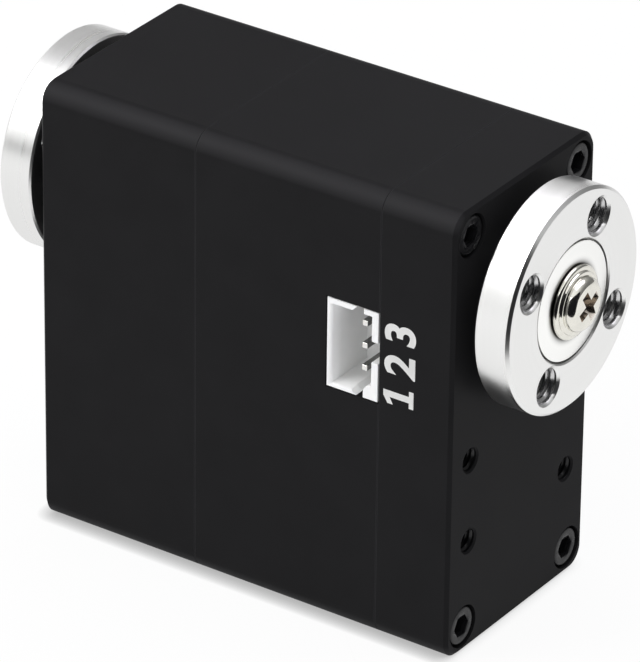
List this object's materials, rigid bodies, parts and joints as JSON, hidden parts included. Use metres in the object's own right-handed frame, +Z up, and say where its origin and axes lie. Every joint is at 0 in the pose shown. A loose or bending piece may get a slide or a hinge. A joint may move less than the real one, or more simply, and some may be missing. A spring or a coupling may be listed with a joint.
{
  "type": "serial bus servo",
  "caption": "Boxed servo with a driven horn in front, an idler horn on the same axis behind, side sockets and a spur gear train with a motor inside.",
  "frame": {"origin": "centre of the lower end face of the case, on which it stands", "axes": "+Z up the long side of the case, -Y out of the front face along the output shaft, X across the width"},
  "size_m": [0.02, 0.0523, 0.04],
  "materials": {
    "black_anodised": "satin black anodised, fine blasted",
    "black_steel": "black oxide",
    "turned_aluminium": "fine turned, bright",
    "nickel": "nickel plated",
    "gear_steel": "machined",
    "zinc_plate": "zinc plated, drawn",
    "black_plastic": "moulded",
    "magnet": "sintered",
    "copper": "lacquered windings",
    "brass": "machined",
    "red_insulation": "soft vinyl",
    "board_green": "solder mask",
    "chip_plastic": "moulded",
    "white_nylon": "moulded, slightly translucent",
    "tin": "tin plated"
  },
  "bodies": {
    "case": {"front_cover": "black_anodised", "middle_case": "black_anodised", "rear_cover": "black_anodised", "case_screws": "black_steel", "front_bearing_outer": "gear_steel", "centre_bearing_outer": "gear_steel", "rear_bearing_inner": "gear_steel", "rear_washer": "turned_aluminium", "rear_screw": "nickel", "gear_axle_pin": "gear_steel", "output_axle_pin": "gear_steel", "motor_can": "zinc_plate", "motor_end_cap": "black_plastic", "motor_magnets": "magnet", "motor_screws": "gear_steel", "motor_terminals": "brass", "motor_leads": "red_insulation", "circuit_board": "board_green", "encoder_chip": "chip_plastic", "board_chips": "chip_plastic", "left_socket": "white_nylon", "left_contacts": "tin", "right_socket": "white_nylon", "right_contacts": "tin"},
    "output": {"output_shaft": "gear_steel", "output_horn": "turned_aluminium", "horn_washer": "turned_aluminium", "horn_screw": "nickel", "front_bearing_inner": "gear_steel", "centre_bearing_inner": "gear_steel", "output_gear": "gear_steel", "encoder_magnet": "magnet"},
    "third_gear": {"third_gear": "gear_steel"},
    "second_gear": {"second_gear": "gear_steel"},
    "first_gear": {"first_gear": "gear_steel"},
    "rotor": {"motor_shaft": "gear_steel", "motor_armature": "copper", "motor_commutator": "brass", "motor_pinion": "brass"},
    "rear_horn": {"rear_horn": "turned_aluminium", "rear_bearing_outer": "gear_steel"}
  },
  "joints": [
    {"name": "output_turn", "type": "hinge", "parent": "case", "child": "output", "pos_m": [0, 0, 0.03], "axis": [0, -1, 0], "continuous": true},
    {"name": "third_gear_turn", "type": "hinge", "parent": "case", "child": "third_gear", "pos_m": [0, 0, 0.02], "axis": [0, -1, 0], "continuous": true},
    {"name": "second_gear_turn", "type": "hinge", "parent": "case", "child": "second_gear", "pos_m": [0, 0, 0.03], "axis": [0, -1, 0], "continuous": true},
    {"name": "first_gear_turn", "type": "hinge", "parent": "case", "child": "first_gear", "pos_m": [0, 0, 0.02], "axis": [0, -1, 0], "continuous": true},
    {"name": "rotor_turn", "type": "hinge", "parent": "case", "child": "rotor", "pos_m": [0, 0, 0.0104], "axis": [0, -1, 0], "continuous": true},
    {"name": "rear_horn_turn", "type": "hinge", "parent": "case", "child": "rear_horn", "pos_m": [0, 0, 0.03], "axis": [0, -1, 0], "continuous": true}
  ],
  "couplings": [
    {"joint": "third_gear_turn", "follows": "output_turn", "ratio": -2.6364},
    {"joint": "second_gear_turn", "follows": "output_turn", "ratio": 7.9091},
    {"joint": "first_gear_turn", "follows": "output_turn", "ratio": -25.045},
    {"joint": "rotor_turn", "follows": "output_turn", "ratio": 95.173}
  ]
}
